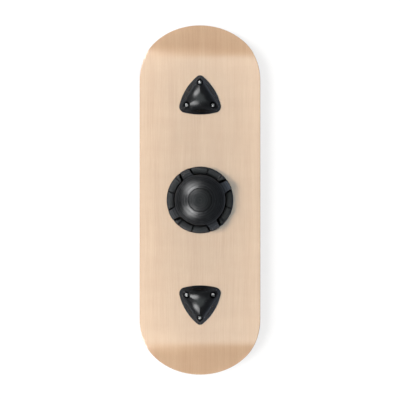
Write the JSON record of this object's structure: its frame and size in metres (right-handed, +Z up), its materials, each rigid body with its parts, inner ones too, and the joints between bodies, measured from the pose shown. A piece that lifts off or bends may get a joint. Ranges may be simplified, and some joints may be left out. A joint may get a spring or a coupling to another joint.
{
  "type": "wobble board",
  "caption": "Pill-shaped plywood wobble board with raised ends, a gritty standing face, a central turning step-height dome and triangular stop feet.",
  "frame": {"origin": "point of the floor under the crown of the dome, on the dome's turning axis", "axes": "+X along the board's length, +Y across it, +Z up from the floor to the standing face"},
  "size_m": [0.8106, 0.276, 0.1011],
  "materials": {
    "plywood": "clear satin lacquer on pale birch",
    "grip_grit": "fine black grit with a pale print",
    "ring_plastic": "satin moulded",
    "dome_plastic": "satin with fine turned rings",
    "crown_rubber": "satin with fine turned rings",
    "foot_plastic": "smooth gloss",
    "screw_steel": "bright zinc",
    "bolt_steel": "plain zinc",
    "washer_zinc": "plain zinc",
    "spring_steel": "bright spring wire"
  },
  "bodies": {
    "deck": {"deck_plywood": "plywood", "grip_sheet": "grip_grit", "step_ring": "ring_plastic", "front_foot": "foot_plastic", "rear_foot": "foot_plastic", "foot_screw_1": "screw_steel", "foot_screw_2": "screw_steel", "foot_screw_3": "screw_steel", "foot_screw_4": "screw_steel", "foot_screw_5": "screw_steel", "foot_screw_6": "screw_steel", "ring_screw_1": "screw_steel", "ring_screw_2": "screw_steel", "ring_screw_3": "screw_steel", "ring_screw_4": "screw_steel", "pivot_bolt": "bolt_steel", "tee_nut": "bolt_steel", "bolt_washer": "washer_zinc", "dome_spring": "spring_steel"},
    "lift": {"thrust_washer": "washer_zinc"},
    "dome": {"dome_shell": "dome_plastic", "crown_pad": "crown_rubber"}
  },
  "joints": [
    {"name": "dome_pull", "type": "slide", "parent": "deck", "child": "lift", "axis": [0, 0, -1], "range_m": [0, 0.005], "stiffness_N_per_m": 1800, "springref_m": -0.0115, "deforming": ["dome_spring"]},
    {"name": "dome_turn", "type": "hinge", "parent": "lift", "child": "dome", "pos_m": [0, 0, 0], "axis": [0, 0, -1], "range_deg": [0, 60]}
  ]
}
